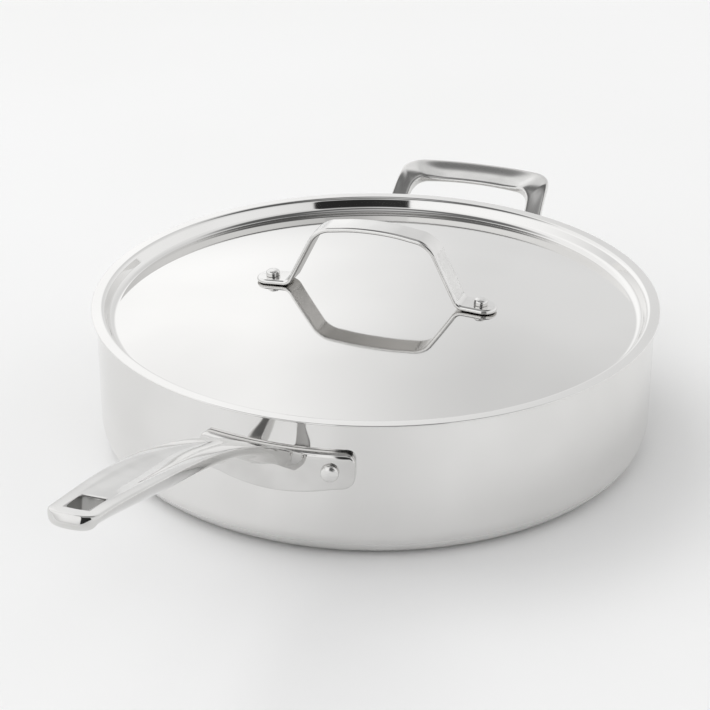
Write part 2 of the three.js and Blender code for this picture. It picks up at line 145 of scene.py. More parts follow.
class Shade:
    """A socket in a node tree, with the arithmetic of shader maths."""

    def __init__(self, tree, socket=None):
        self.tree = tree
        self.socket = socket

    def node(self, kind, inputs=None, output=0, **settings):
        """Adds a node: its settings first, then the values or links of its sockets."""
        node = self.tree.nodes.new(kind)
        for name, value in settings.items():
            setattr(node, name, value)
        for name, value in (inputs or {}).items():
            if isinstance(value, Shade):
                self.tree.links.new(value.socket, node.inputs[name])
            else:
                node.inputs[name].default_value = value
        return Shade(self.tree, node.outputs[output])

    def maths(self, operation, *values):
        return self.node("ShaderNodeMath", dict(enumerate(values)), operation=operation)

    def __add__(self, other):
        return self.maths("ADD", self, other)

    def __sub__(self, other):
        return self.maths("SUBTRACT", self, other)

    def __rsub__(self, other):
        return self.maths("SUBTRACT", other, self)

    def __mul__(self, other):
        return self.maths("MULTIPLY", self, other)

    def __pow__(self, other):
        return self.maths("POWER", self, other)

    def __lt__(self, other):
        return self.maths("LESS_THAN", self, other)

    def __gt__(self, other):
        return self.maths("GREATER_THAN", self, other)

    __radd__ = __add__
    __rmul__ = __mul__

    def parts(self):
        """The X, Y and Z of a vector."""
        return [self.node("ShaderNodeSeparateXYZ", {0: self}, output=axis) for axis in "XYZ"]

    def dot(self, other):
        return self.node("ShaderNodeVectorMath", {0: self, 1: other}, "Value", operation="DOT_PRODUCT")

    def times(self, other):
        return self.node("ShaderNodeVectorMath", {0: self, 1: other}, operation="MULTIPLY")

    def noise(self, scale, detail=2):
        return self.node("ShaderNodeTexNoise", {"Vector": self, "Scale": scale, "Detail": detail})

    def mixed(self, first, second):
        """A colour between two, with this as the share of the second."""
        return self.node("ShaderNodeMix", {0: self, 6: first, 7: second}, 2, data_type="RGBA")

    def eased(self, start, stop):
        """Goes smoothly from 0 to 1 as this goes from start to stop."""
        limits = {"Value": self, "From Min": start, "From Max": stop}
        return self.node("ShaderNodeMapRange", limits, interpolation_type="SMOOTHSTEP")


def steel(name, finish):
    """A steel whose colour, roughness and relief in metres come from finish at Object coordinates."""
    material = bpy.data.materials.new(name)
    material.use_nodes = True
    tree = material.node_tree
    shader = tree.nodes["Principled BSDF"]
    shader.inputs["Metallic"].default_value = 1
    place = Shade(tree).node("ShaderNodeTexCoord", output="Object")
    colour, roughness, relief = finish(place)
    normal = place.node("ShaderNodeBump", {"Height": relief, "Distance": 1.0})
    for socket, value in (("Base Color", colour), ("Roughness", roughness), ("Normal", normal)):
        tree.links.new(value.socket, shader.inputs[socket])
    return material


def placed(bm, name, material, body, node):
    """Puts a finished mesh on its body, in the place of its CAD node."""
    for edge in bm.edges:
        edge.smooth = edge.calc_face_angle(0) < SHARP_FROM
    for face in bm.faces:
        face.smooth = True
    mesh = bpy.data.meshes.new(name)
    bm.to_mesh(mesh)
    bm.free()
    mesh.materials.append(material)
    piece = bpy.data.objects.new(name, mesh)
    bpy.context.collection.objects.link(piece)
    shading = piece.modifiers.new("even_shading", "WEIGHTED_NORMAL")
    shading.keep_sharp = True
    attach(piece, body)
    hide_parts(node)


def turned_lines(x, y, radius, height):
    """Fine lines round the Z axis, as turning and polishing leave them."""
    return radius.node("ShaderNodeCombineXYZ", {
        "X": radius * LINES_PER_METRE,
        "Y": radius.maths("ARCTAN2", y, x) * LINES_PER_RADIAN,
        "Z": height * LINES_PER_METRE,
    }).noise(1)


def polished(place, lines, tints, cloud, roughness, swell, line_depth):
    """Colour, roughness and relief of steel that is a little cloudy, lined and uneven.

    Roughness has a plain part and what clouds and lines add; swell has a scale and a height in metres.
    """
    clouds = place.noise(cloud)
    plain, by_cloud, by_lines = roughness
    swell_scale, swell_height = swell
    return (
        clouds.eased(*TINT_SPREAD).mixed(*tints),
        plain + clouds.eased(*GLOSS_SPREAD) * by_cloud + lines * by_lines,
        place.noise(swell_scale, 1) * swell_height + lines * line_depth,
    )


def drawn_body_finish(place):
    """Bright outside, and a satin with deeper lines inside."""
    x, y, z = place.parts()
    radius = (x * x + y * y) ** 0.5
    inside = (radius < inner_radius + CLAD_SHEET / 2) * (z > CLAD_SHEET / 2)
    lines = turned_lines(x, y, radius, z)
    line_depth = inside * INSIDE_LINE_DEPTH + BODY_LINE_DEPTH
    colour, roughness, relief = polished(
        place, lines, BODY_TINTS, BODY_CLOUD, BODY_ROUGHNESS, BODY_SWELL, line_depth,
    )
    return colour, roughness + inside * INSIDE_ROUGHNESS, relief


bm = bmesh.new()
drawn_line(bm, [
    ((0, 0, 0), 0),
    ((wall_radius, 0, 0), BASE_CORNER),
    ((wall_radius, 0, pan_height), RIM_ROUND),
    ((inner_radius, 0, pan_height), RIM_ROUND),
    ((inner_radius, 0, CLAD_SHEET), BASE_CORNER - CLAD_SHEET),
    ((0, 0, CLAD_SHEET), 0),
], BODY_BEND_STEPS)
turned(bm, PAN_TURN)
body_steel = steel("polished_body_steel", drawn_body_finish)
placed(bm, "drawn_pan_body", body_steel, "pan", "pan_body")

# Long handle
# One polished steel casting: a plate shaped to the wall, a neck forked into two legs, and a grip
# with a dished top, a flat rim round the dish and a slot to hang it by. Two rivets hold its plate.
SEAT_GAP = 0.3 * MM
PLATE_THICKNESS = 4.0 * MM
PLATE_TOP_BEND = 5 * MM
PLATE_BOTTOM_BEND = 7 * MM
PLATE_BEND_STEPS = 8
PLATE_BOW_STEPS = 8
PLATE_EDGE = 1.1 * MM
PLATE_EDGE_STEPS = 5
PLATE_TOP_ROUND = 4.6 * MM
PLATE_TOP_FALL = 2.3 * MM
PLATE_TOP_CUTS = 8
PLATE_STRIPS = 28
FRONT_PLATE = {
    "span": 83.6 * MM,
    "below_rim": 14.5 * MM,
    "end_depth": 18.6 * MM,
    "depth": 23.4 * MM,
}
HANDLE_LENGTH = 215.5 * MM
HANDLE_RISE = 79.1 * MM
ROOT_ARM = Vector((70, 46.2)) * MM
TIP_ARM = Vector((80, 14.4)) * MM
HANDLE_CURVE_POINTS = 200
HANDLE_WIDTHS = ((0, 36), (10, 27), (50, 27), (140, 29), (215.5, 23.4))
HANDLE_DEPTHS = ((0, 13), (50, 9), (140, 12.5), (215.5, 8))
GAP_WIDTHS = ((-2, 19), (20, 15), (50, 5), (140, 9.5), (190, 11.6), (207, 10))
DISH_WIDTHS = ((0, 28), (20, 21), (50, 8), (140, 18), (215.5, 14.4))
DISH_SHARES = ((45, 0), (85, 1), (157.5, 1), (207.5, 0))
FORK_GAP = -1.2, 20
FORK_UNDER_CREASE = 0.1
HANG_SLOT = 190, 207
HANDLE_RUNS = (
    -2.5, -1.2, 0, 2, 5, 9, 14, 20, 25, 33, 44, 56, 70, 85, 102, 120, 138, 155, 170, 181, 190,
    194, 198, 202, 207, 208.6,
)
TIP_TURNS = 10, 22, 36, 50, 64, 78, 90
TIP_ROUND = 6
TIP_FLAT = 4
TIP_FACE_DEPTH = 6
TIP_SLANT = 1.8
TIP_SLANT_POWER = 1.2
TIP_BULGE = 0.75
TIP_TUCK = 1.2
TIP_RIBS = 5, 6, 7, 8
EDGE_ROUND = 0.8
BELLY_SHARES = (0.93, 1.0, 0.37), (0.74, 0.97, 0.67)
BELLY_LIP_SHARES = 0.75, 0.92
DISH_DEPTH = 1.8
GAP_FACE_SHARE = 0.4
LIP_CREASE = 0.72
LIP_DROP = 3 * MM
ARM_SMOOTHING = 3
CAST_TINTS = (0.71, 0.705, 0.695, 1), (0.66, 0.655, 0.645, 1)
CAST_CLOUD = 45
CAST_ROUGHNESS = 0.04, 0.02, 0.02
CAST_SWELL = 60, 2e-6
CAST_LINES = 900, 160, 900
CAST_LINE_DEPTH = 2e-8
SLOT_TINT = 0.36, 0.357, 0.35, 1
SLOT_ROUGHNESS = 0.22
SLOT_WALL_REACH = 5.9 * MM

plate_radius = wall_radius + SEAT_GAP + PLATE_THICKNESS
front_top = pan_height - FRONT_PLATE["below_rim"]
slot_wall_near = -plate_radius - HANG_SLOT[0] * MM
slot_wall_far = -plate_radius - HANG_SLOT[1] * MM


def eased(stops, place):
    """A value that eases from each stop (place, value) to the next."""
    value = stops[0][1]
    for (start, low), (stop, high) in zip(stops, stops[1:]):
        share = min(max((place - start) / (stop - start), 0), 1)
        value += (high - low) * share * share * (3 - 2 * share)
    return value


def height_along(points):
    """The height at a reach on a line through points (reach, height)."""
    def height(reach):
        after = next((i for i, point in enumerate(points) if i and point[0] >= reach), len(points) - 1)
        start, stop = points[after - 1], points[after]
        return start[1] + (stop[1] - start[1]) * (reach - start[0]) / (stop[0] - start[0])

    return height


handle_root = Vector((plate_radius, front_top))
handle_end = handle_root + Vector((HANDLE_LENGTH, HANDLE_RISE))
handle_height = height_along(interpolate_bezier(
    handle_root, handle_root + ROOT_ARM, handle_end - TIP_ARM, handle_end, HANDLE_CURVE_POINTS,
))


def handle_ring(run, tip_turn=0):
    """A section of the arm at a run from the plate: dished or flat on top, with a round belly.

    Runs and the tables of widths and depths along them are in millimetres. As tip_turn goes to a
    right angle, the section narrows round the tip's corner to the slanted end face.
    """
    full_width = eased(HANDLE_WIDTHS, run)
    width = TIP_FLAT + (full_width - TIP_FLAT) * math.cos(tip_turn)
    depth = TIP_FACE_DEPTH + (eased(HANDLE_DEPTHS, run) - TIP_FACE_DEPTH) * math.cos(tip_turn)
    narrowing = width / full_width
    blunt = math.sqrt(math.sin(tip_turn))
    half = width / 2
    rim = eased(DISH_WIDTHS, run) / 2 * narrowing
    gap = eased(GAP_WIDTHS, run) / 2 * narrowing
    dish = DISH_DEPTH * eased(DISH_SHARES, run)
    flank = [(x, dish * (1 - (x / rim) ** 2)) for x in (gap, (gap + rim) / 2, rim)]
    flank += [(half - EDGE_ROUND, 0), (half, EDGE_ROUND)]
    belly = [
        (half * (slim + (full - slim) * blunt), EDGE_ROUND + (depth - EDGE_ROUND) * low)
        for slim, full, low in (*BELLY_SHARES, (gap / half, *BELLY_LIP_SHARES))
    ]
    right = flank + belly
    ring = [(0, dish), *right, (0, depth), *((-x, drop) for x, drop in reversed(right))]
    facing = Vector((
        math.cos(tip_turn) * TIP_ROUND,
        math.sin(tip_turn) * (full_width - TIP_FLAT) / 2,
    )).normalized()
    points = []
    for x, drop in ring:
        low = drop / depth
        setback = TIP_SLANT * max(1 - low / TIP_BULGE, 0) ** TIP_SLANT_POWER
        setback += TIP_TUCK * max((low - TIP_BULGE) / (1 - TIP_BULGE), 0) ** 2
        x *= 1 - blunt * setback * facing.x / half
        reach = plate_radius + (run - blunt * setback * facing.y) * MM
        points.append(Vector((x * MM, -reach, handle_height(reach) - drop * MM)))
    return points


def skinned(bm, rings):
    """A skin through rings of as many points each, closed at both ends. Gives the last ring."""
    loop = [bm.verts.new(point) for point in rings[0]]
    edges = [bm.edges.new(pair) for pair in zip(loop, loop[1:] + loop[:1])]
    bm.faces.new(loop)
    for before, after in zip(rings, rings[1:]):
        grown = bmesh.ops.extrude_edge_only(bm, edges=edges)["geom"]
        edges = [item for item in grown if isinstance(item, bmesh.types.BMEdge)]
        grown_verts = {vert for edge in edges for vert in edge.verts}
        loop = [min(grown_verts, key=lambda vert: (vert.co - point).length) for point in before]
        for vert, point in zip(loop, after):
            vert.co = point
    bmesh.ops.contextual_create(bm, geom=edges)
    bmesh.ops.recalc_face_normals(bm, faces=bm.faces)
    return loop


def pierced(bm, start, stop, under_crease):
    """Opens a gap through the arm between two runs, and closes the wall between its two lips."""
    creases = bm.edges.layers.float.get("crease_edge") or bm.edges.layers.float.new("crease_edge")
    inside = []
    for face in bm.faces:
        middle = face.calc_center_median() / MM
        run = -middle.y - plate_radius / MM
        if start < run < stop and abs(middle.x) < GAP_FACE_SHARE * eased(GAP_WIDTHS, run):
            inside.append(face)
    bmesh.ops.delete(bm, geom=inside, context="FACES")
    lips = [edge for edge in bm.edges if edge.is_boundary]
    for edge in lips:
        middle = (edge.verts[0].co + edge.verts[1].co) / 2
        drop = handle_height(-middle.y) - middle.z
        edge[creases] = LIP_CREASE if drop < LIP_DROP else under_crease
    bmesh.ops.bridge_loops(bm, edges=lips)


def finished(bm, kind, **settings):
    """The mesh as a modifier leaves it."""
    mesh = bpy.data.meshes.new("blank")
    bm.to_mesh(mesh)
    bm.free()
    blank = bpy.data.objects.new("blank", mesh)
    bpy.context.collection.objects.link(blank)
    modifier = blank.modifiers.new(kind, kind)
    for name, value in settings.items():
        setattr(modifier, name, value)
    result = bmesh.new()
    result.from_object(blank, bpy.context.evaluated_depsgraph_get())
    bpy.data.objects.remove(blank)
    bpy.data.meshes.remove(mesh)
    return result


def combined(bm, tool, operation):
    """Two closed meshes as one, joined or cut."""
    mesh = bpy.data.meshes.new("tool")
    tool.to_mesh(mesh)
    tool.free()
    shape = bpy.data.objects.new("tool", mesh)
    bpy.context.collection.objects.link(shape)
    result = finished(bm, "BOOLEAN", object=shape, operation=operation, solver="EXACT")
    bpy.data.objects.remove(shape)
    bpy.data.meshes.remove(mesh)
    return result


def round_edges(bm, edges, radius, steps):
    """Rounds edges over with a small radius."""
    bmesh.ops.bevel(
        bm,
        geom=edges,
        offset=radius,
        segments=steps,
        profile=0.5,
        affect="EDGES",
        material=-1,
    )


def wall_plate(span, below_rim, end_depth, depth, facing):
    """A plate bent round the wall: straight on top, bowed below, with a rounded outer edge."""
    bm = bmesh.new()
    half = plate_radius * math.sin(span / 2 / plate_radius)
    top = pan_height - below_rim
    end = top - end_depth
    bow_half = half - PLATE_BOTTOM_BEND
    bow = [bow_half * (step / PLATE_BOW_STEPS - 1) for step in range(1, 2 * PLATE_BOW_STEPS)]
    corners = [
        bm.verts.new((x, 0, z)) for x, z in ((-half, end), (-half, top), (half, top), (half, end))
    ]
    lower = [
        bm.verts.new((x, 0, end - (depth - end_depth) * (1 - (x / bow_half) ** 2))) for x in bow
    ]
    bm.faces.new(corners + lower[::-1])
    bends = PLATE_BOTTOM_BEND, PLATE_TOP_BEND, PLATE_TOP_BEND, PLATE_BOTTOM_BEND
    for vert, radius in zip(corners, bends):
        bend_vert(bm, vert, radius, PLATE_BEND_STEPS)
    back = bmesh.ops.extrude_face_region(bm, geom=bm.faces[:])["geom"]
    back_verts = [item for item in back if isinstance(item, bmesh.types.BMVert)]
    bmesh.ops.translate(bm, verts=back_verts, vec=(0, -PLATE_THICKNESS, 0))
    front_edges = [
        edge for edge in bm.edges if all(vert.co.y > -PLATE_THICKNESS / 2 for vert in edge.verts)
    ]
    round_edges(bm, front_edges, PLATE_EDGE, PLATE_EDGE_STEPS)
    cuts = [
        ((half * (2 * strip / PLATE_STRIPS - 1), 0, 0), (1, 0, 0)) for strip in range(1, PLATE_STRIPS)
    ]
    for cut in range(PLATE_TOP_CUTS):
        fall = math.cos(math.pi / 2 * cut / PLATE_TOP_CUTS)
        cuts.append(((0, 0, top - PLATE_TOP_ROUND * (1 - fall)), (0, 0, 1)))
    for place, normal in cuts:
        geometry = bm.verts[:] + bm.edges[:] + bm.faces[:]
        bmesh.ops.bisect_plane(bm, geom=geometry, plane_co=place, plane_no=normal)
    for vert in bm.verts:
        turn = math.asin(vert.co.x / plate_radius)
        share = min(max((vert.co.z - top + PLATE_TOP_ROUND) / PLATE_TOP_ROUND, 0), 1)
        front = (vert.co.y + PLATE_THICKNESS) / PLATE_THICKNESS
        reach = plate_radius + vert.co.y - PLATE_TOP_FALL * front * (1 - math.sqrt(1 - share * share))
        vert.co = reach * math.sin(turn), facing * reach * math.cos(turn), vert.co.z
    bmesh.ops.recalc_face_normals(bm, faces=bm.faces)
    return bm


def cast_finish(place):
    """Bright, with the walls of the hang slot darker and rougher."""
    x, y, _ = place.parts()
    in_slot = (x * x < SLOT_WALL_REACH ** 2) * (y < slot_wall_near) * (y > slot_wall_far)
    lines = place.times(CAST_LINES).noise(1)
    colour, roughness, relief = polished(
        place, lines, CAST_TINTS, CAST_CLOUD, CAST_ROUGHNESS, CAST_SWELL, CAST_LINE_DEPTH,
    )
    return in_slot.mixed(colour, SLOT_TINT), roughness + in_slot * SLOT_ROUGHNESS, relief


arm = bmesh.new()
straight = HANDLE_LENGTH / MM - TIP_ROUND
tip_turns = [math.radians(turn) for turn in TIP_TURNS]
tip_ring = skinned(
    arm,
    [handle_ring(run) for run in HANDLE_RUNS]
    + [handle_ring(straight + TIP_ROUND * math.sin(turn), turn) for turn in tip_turns],
)
for rib in TIP_RIBS:
    bmesh.ops.connect_vert_pair(arm, verts=[tip_ring[rib], tip_ring[-rib]])
pierced(arm, *FORK_GAP, FORK_UNDER_CREASE)
pierced(arm, *HANG_SLOT, LIP_CREASE)
bmesh.ops.recalc_face_normals(arm, faces=arm.faces)
arm = finished(arm, "SUBSURF", levels=ARM_SMOOTHING, render_levels=ARM_SMOOTHING)
cast_steel = steel("polished_cast_steel", cast_finish)
long_handle = combined(arm, wall_plate(**FRONT_PLATE, facing=-1), "UNION")
placed(long_handle, "cast_long_handle", cast_steel, "pan", "long_handle")

# Long handle rivets
# Two steel rivets through plate and wall, one on either side of the neck.
# Each has a polished domed head outside and a low flat head set against the inside of the wall.
WALL_RIVET = {
    "shank": 3.2 * MM,
    "head": 4.6 * MM,
    "crown": 3.0 * MM,
    "brow": 0.62,
    "tail": 5.6 * MM,
    "tail_depth": 1.6 * MM,
}
HEAD_GAP = 0.1 * MM
TAIL_ROUND = 0.55
TAIL_FOOT_ROUND = 0.2
HEAD_FOOT_ROUND = 0.05
BROW_ROUND = 0.42
CROWN_KNEE = 0.5, 0.94
CROWN_KNEE_ROUND = 0.6
RIVET_TURN = 48
RIVET_BEND_STEPS = 10
RIVET_TINTS = (0.78, 0.775, 0.765, 1), (0.73, 0.725, 0.715, 1)
RIVET_CLOUD = 220
RIVET_ROUGHNESS = 0.2, 0.06, 0
RIVET_SWELL = 700, 6e-7
SIDES = {"left": -1, "right": 1}

wall_grip = plate_radius + 2 * SEAT_GAP - inner_radius


def riveted(seat, outward, shank, head, crown, brow, tail, tail_depth, grip):
    """A rivet whose domed head stands on a seat, with its flat head a grip behind it."""
    bm = bmesh.new()
    flat = -grip - tail_depth
    drawn_line(bm, [
        ((0, 0, flat), 0),
        ((tail, 0, flat), TAIL_ROUND * tail_depth),
        ((tail, 0, -grip), TAIL_FOOT_ROUND * tail_depth),
        ((shank, 0, -grip), 0),
        ((shank, 0, 0), 0),
        ((head, 0, 0), HEAD_FOOT_ROUND * head),
        ((head, 0, brow * crown), BROW_ROUND * crown),
        ((CROWN_KNEE[0] * head, 0, CROWN_KNEE[1] * crown), CROWN_KNEE_ROUND * head),
        ((0, 0, crown), 0),
    ], RIVET_BEND_STEPS)
    turned(bm, RIVET_TURN)
    turn = outward.to_track_quat("Z", "Y").to_matrix().to_4x4()
    bmesh.ops.transform(bm, matrix=Matrix.Translation(seat) @ turn, verts=bm.verts)
    return bm


def rivet_finish(place):
    """A soft polish with no lines, as the heading tool leaves it."""
    return polished(place, 0, RIVET_TINTS, RIVET_CLOUD, RIVET_ROUGHNESS, RIVET_SWELL, 0)


def wall_rivets(node_stem, name_stem):
    """The two rivets of a plate, each where its CAD node is."""
    for side in SIDES:
        low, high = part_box(f"{node_stem}_{side}")
        middle = (low + high) / 2
        outward = Vector((middle.x, middle.y, 0)).normalized()
        seat = outward * (plate_radius + HEAD_GAP) + Vector((0, 0, middle.z))
        rivet = riveted(seat, outward, **WALL_RIVET, grip=wall_grip)
        name, node = f"{name_stem}_{side}", f"{node_stem}_{side}"
        placed(rivet, name, rivet_steel, "pan", node)


rivet_steel = steel("polished_rivet_steel", rivet_finish)
wall_rivets("long_handle_rivet", "front_rivet")

# Helper handle
# One steel casting with a satin polish, across from the long handle: a plate shaped to the wall, and
# a loop for the other hand that rises from it, with a shallow dish along the top of its bar. Two
# rivets hold its plate.
BACK_PLATE = {
    "span": 109.4 * MM,
    "below_rim": 14.7 * MM,
    "end_depth": 21 * MM,
    "depth": 24 * MM,
}
LOOP_ROOT_WIDTH = 100.4 * MM
LOOP_END_WIDTH = 93.4 * MM
LOOP_LENGTH = 51.8 * MM
LOOP_BOW = 7 * MM
LEG_WIDTH = 10 * MM
BAR_WIDTH = 17.5 * MM
LOOP_CORNER = 13 * MM
LOOP_INNER_CORNER = 11 * MM
LOOP_BOW_BEND = 200 * MM
LOOP_INNER_BOW = 4.5 * MM
LOOP_INNER_BOW_BEND = 150 * MM
LOOP_ROOT_BELOW = 16 * MM
LOOP_CREASE = 34.8 * MM, 33 * MM, 20 * MM
LOOP_RISE = 36.6 * MM
LOOP_DISH_DEPTH = 2.5
LOOP_DISH_SHARES = ((32, 1), (43, 0))
LOOP_SECTION = (
    (0, 2.3, 0), (0, 1.0, 0), (0.03, 0.25, 0), (0.1, 0, 0.1), (0.25, 0, 0.42), (0.42, 0, 0.78),
    (0.58, 0, 0.96), (0.76, 0, 1), (0.93, 0, 1), (0.985, 0.5, 1), (1, 1.1, 1),
    (1, 4.7, 0), (0.93, 5.7, 0), (0.5, 5.7, 0), (0.07, 5.7, 0), (0, 4.7, 0),
)
LOOP_BEND_STEPS = 8
LEG_STEPS = 5
LOOP_SMOOTHING = 2
SATIN_CLOUD = 60
SATIN_ROUGHNESS = 0.16, 0.04, 0.04
SATIN_SWELL = 70, 3e-6
SATIN_LINES = 300, 2200, 2200
SATIN_LINE_DEPTH = 3e-7

back_top = pan_height - BACK_PLATE["below_rim"]
loop_start = math.sqrt(wall_radius ** 2 - (LOOP_ROOT_WIDTH / 2) ** 2)
loop_reach = wall_radius + LOOP_LENGTH
root_height = back_top - LOOP_ROOT_BELOW
crease_reach, crease_rise, crease_bend = LOOP_CREASE
bm = bmesh.new()
loop_line = drawn_line(bm, [
    ((loop_start, 0, root_height), 0),
    ((wall_radius + crease_reach, 0, root_height + crease_rise), crease_bend),
    ((loop_reach + LOOP_BOW, 0, root_height + LOOP_RISE), 0),
], LOOP_BEND_STEPS)
loop_height = height_along([(vert.co.x, vert.co.z) for vert in loop_line])
bm.free()


def loop_edge(root_half, end_half, reach, corner, bow, bow_bend):
    """The points of one edge of the loop in plan, from its left root round to its right root."""
    bm = bmesh.new()
    line = drawn_line(bm, [
        ((-root_half, loop_start, 0), 0),
        ((-end_half, reach, 0), corner),
        ((0, reach + bow, 0), bow_bend),
        ((end_half, reach, 0), corner),
        ((root_half, loop_start, 0), 0),
    ], LOOP_BEND_STEPS)
    points = [vert.co.copy() for vert in line]
    bm.free()
    left_leg = [points[0].lerp(points[1], step / LEG_STEPS) for step in range(LEG_STEPS)]
    right_leg = [points[-2].lerp(points[-1], step / LEG_STEPS) for step in range(1, LEG_STEPS + 1)]
    return left_leg + points[1:-1] + right_leg


outer_edge = loop_edge(
    LOOP_ROOT_WIDTH / 2,
    LOOP_END_WIDTH / 2,
    loop_reach,
    LOOP_CORNER,
    LOOP_BOW,
    LOOP_BOW_BEND,
)
inner_edge = loop_edge(
    LOOP_ROOT_WIDTH / 2 - LEG_WIDTH,
    LOOP_END_WIDTH / 2 - LEG_WIDTH,
    loop_reach - BAR_WIDTH,
    LOOP_INNER_CORNER,
    LOOP_INNER_BOW,
    LOOP_INNER_BOW_BEND,
)


def loop_ring(outer, inner):
    """A section of the loop from its outer to its inner edge: dished on top, flat below, rounded.

    A row of LOOP_SECTION has the share of the way in, the drop in millimetres and its share of the dish.
    """
    dish = LOOP_DISH_DEPTH * eased(LOOP_DISH_SHARES, abs(outer.x) / MM)
    points = []
    for share, drop, dished in LOOP_SECTION:
        at = outer.lerp(inner, share)
        points.append(Vector((at.x, at.y, loop_height(at.y) - (drop + dished * dish) * MM)))
    return points


def satin_finish(place):
    """A soft polish with fine lines along the bar."""
    lines = place.times(SATIN_LINES).noise(1)
    return polished(
        place, lines, CAST_TINTS, SATIN_CLOUD, SATIN_ROUGHNESS, SATIN_SWELL, SATIN_LINE_DEPTH,
    )


loop = bmesh.new()
skinned(loop, [loop_ring(*edges) for edges in zip(outer_edge, inner_edge)])
loop = finished(loop, "SUBSURF", levels=LOOP_SMOOTHING, render_levels=LOOP_SMOOTHING)
satin_steel = steel("satin_cast_steel", satin_finish)
helper_handle = combined(loop, wall_plate(**BACK_PLATE, facing=1), "UNION")
placed(helper_handle, "cast_helper_handle", satin_steel, "pan", "helper_handle")

# Helper handle rivets
# Two more of the same steel rivets, one inside either leg of the loop. They go through the helper
# handle's plate and the pan's wall, and grip both between a domed and a low flat head.
wall_rivets("helper_handle_rivet", "back_rivet")

# Lid
# One pressing of thin steel sheet, polished bright: a low dome, a valley round it, a short wall that
# sinks into the pan and a flat flange that rests on the rim.
LID_SHEET = 1.0 * MM
LID_FIT = 0.6 * MM
LID_DROP = 8.2 * MM
LID_WALL_LEAN = 3.2 * MM
LID_SHOULDER_BEND = 2.6 * MM
LID_VALLEY_BEND = 4.2 * MM
DOME_RISE = 10.8 * MM
DOME_STEPS = 24
LID_BEND_STEPS = 10
FLANGE_EDGE = 0.42 * MM
FLANGE_EDGE_STEPS = 4
LID_TINTS = (0.80, 0.795, 0.785, 1), (0.77, 0.765, 0.755, 1)
LID_CLOUD = 11
LID_ROUGHNESS = 0.035, 0.02, 0.015
LID_SWELL = 13, 7e-6
LID_LINE_DEPTH = 2e-8

_, lid_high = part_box("lid")
flange_radius = lid_high.x
flange_height = pan_height + SEAT_GAP + LID_SHEET
lid_wall_radius = inner_radius - LID_FIT - LID_SHEET
valley_radius = lid_wall_radius - LID_WALL_LEAN
dome_top = flange_height - LID_DROP + DOME_RISE
dome_radius = (valley_radius ** 2 + DOME_RISE ** 2) / (2 * DOME_RISE)


def lid_finish(place):
    """A mirror with faint turned lines."""
    x, y, _ = place.parts()
    lines = turned_lines(x, y, (x * x + y * y) ** 0.5, 0)
    return polished(place, lines, LID_TINTS, LID_CLOUD, LID_ROUGHNESS, LID_SWELL, LID_LINE_DEPTH)


bm = bmesh.new()
crown = bm.verts.new((0, 0, dome_top))
bmesh.ops.spin(
    bm,
    geom=[crown],
    cent=(0, 0, dome_top - dome_radius),
    axis=(0, 1, 0),
    angle=math.asin(valley_radius / dome_radius),
    steps=DOME_STEPS,
)
valley = max(bm.verts, key=lambda vert: vert.co.x)
shoulder = bm.verts.new((lid_wall_radius, 0, flange_height))
flange = bm.verts.new((flange_radius, 0, flange_height))
bm.edges.new((valley, shoulder))
bm.edges.new((shoulder, flange))
bend_vert(bm, valley, LID_VALLEY_BEND, LID_BEND_STEPS)
bend_vert(bm, shoulder, LID_SHOULDER_BEND, LID_BEND_STEPS)
turned(bm, PAN_TURN)
if sum(face.normal.z for face in bm.faces) < 0:
    bmesh.ops.reverse_faces(bm, faces=bm.faces)
bmesh.ops.solidify(bm, geom=bm.faces[:], thickness=LID_SHEET)
rim_edges = [
    edge for edge in bm.edges
    if all(math.hypot(vert.co.x, vert.co.y) > flange_radius - LID_SHEET / 4 for vert in edge.verts)
    and abs(edge.verts[0].co.z - edge.verts[1].co.z) < LID_SHEET / 4
]
round_edges(bm, rim_edges, FLANGE_EDGE, FLANGE_EDGE_STEPS)
bmesh.ops.recalc_face_normals(bm, faces=bm.faces)
lid_steel = steel("polished_lid_steel", lid_finish)
placed(bm, "pressed_lid", lid_steel, "lid", "lid")

# Lid handle
# One steel strap with rounded edges, polished outside and rougher inside, bent to an arch: two
# round-ended tabs lie on the dome, two legs lean in and a slightly crowned bar joins them at the
# top. Its inner faces are darkened with painted shade. A rivet holds each tab.
STRAP_WIDTH = 15.5 * MM
STRAP_SHEET = 2.7 * MM
STRAP_OUTER_EDGE = 1.6 * MM
STRAP_OUTER_EDGE_STEPS = 8
STRAP_INNER_EDGE = 1.05 * MM
STRAP_INNER_EDGE_STEPS = 5
TAB_END = 9.2 * MM
STRAP_FOOT_INSET = 12 * MM
STRAP_SHOULDER_REACH = 31.3 * MM
STRAP_SHOULDER_RISE = 33.1 * MM
STRAP_CROWN_RISE = 37.9 * MM
STRAP_FOOT_BEND = 6 * MM
STRAP_SHOULDER_BEND = 12 * MM
STRAP_CROWN_BEND = 110 * MM
STRAP_BEND_STEPS = 10
STRAP_WELD = 0.02 * MM
TAB_ROUND = 0.499 * STRAP_WIDTH
TAB_END_NEAR = 1 * MM
EDGE_FROM = math.radians(60)
OUTER_FACE_RISE = 0.2
INNER_FACE_RISE = -0.2
INNER_FACE_LEAN = 0.6
STRAP_TINTS = (0.77, 0.765, 0.755, 1), (0.72, 0.715, 0.705, 1)
STRAP_CLOUD = 50
STRAP_ROUGHNESS = 0.07, 0.02, 0.01
STRAP_SWELL = 40, 3e-6
STRAP_LINES = 200, 2600, 200
STRAP_LINE_DEPTH = 1e-8
# Painted shade: the darker colour of the strap's inner faces, which face down and in under the arch.
STRAP_INSIDE_PAINTED_SHADE = 0.46, 0.45, 0.435, 1
STRAP_INNER_ROUGHNESS = 0.12
LID_RIVET_REACH = 60 * MM

tab_tilt = math.asin(LID_RIVET_REACH / dome_radius)
rivet_dome_height = dome_top - dome_radius * (1 - math.cos(tab_tilt))


def tab_height(reach):
    """The height of a tab's underside at a reach from the lid's middle."""
    return rivet_dome_height + SEAT_GAP - (reach - LID_RIVET_REACH) * math.tan(tab_tilt)


